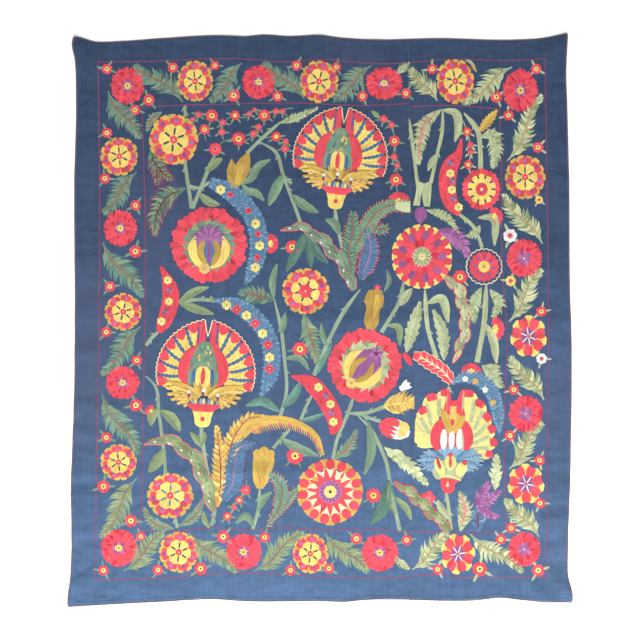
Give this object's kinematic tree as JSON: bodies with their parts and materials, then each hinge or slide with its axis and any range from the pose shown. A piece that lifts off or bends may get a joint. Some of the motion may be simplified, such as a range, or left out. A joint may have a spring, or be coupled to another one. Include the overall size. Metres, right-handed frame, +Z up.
{
  "type": "suzani embroidered textile",
  "caption": "Large rectangular suzani wall or bed cover: blue cotton ground in two joined panels, silk flower embroidery and a braided edge, lying flat.",
  "frame": {"origin": "on the surface that the cloth lies on, under the middle of its outline", "axes": "+X across the cloth to the right as its face is seen, +Y up the cloth to its top edge, +Z up out of its face"},
  "size_m": [1.7707, 2.0134, 0.0103],
  "materials": {
    "ground_cotton": "matt blue cotton in a plain weave",
    "edge_braid": "matt dark maroon braid",
    "silk_thread": "couched silk stitches in many colours, soft sheen"
  },
  "bodies": {
    "root": {"panel_left": "ground_cotton", "panel_right": "ground_cotton", "braid_top": "edge_braid", "braid_bottom": "edge_braid", "braid_left": "edge_braid", "braid_right": "edge_braid"}
  },
  "joints": []
}
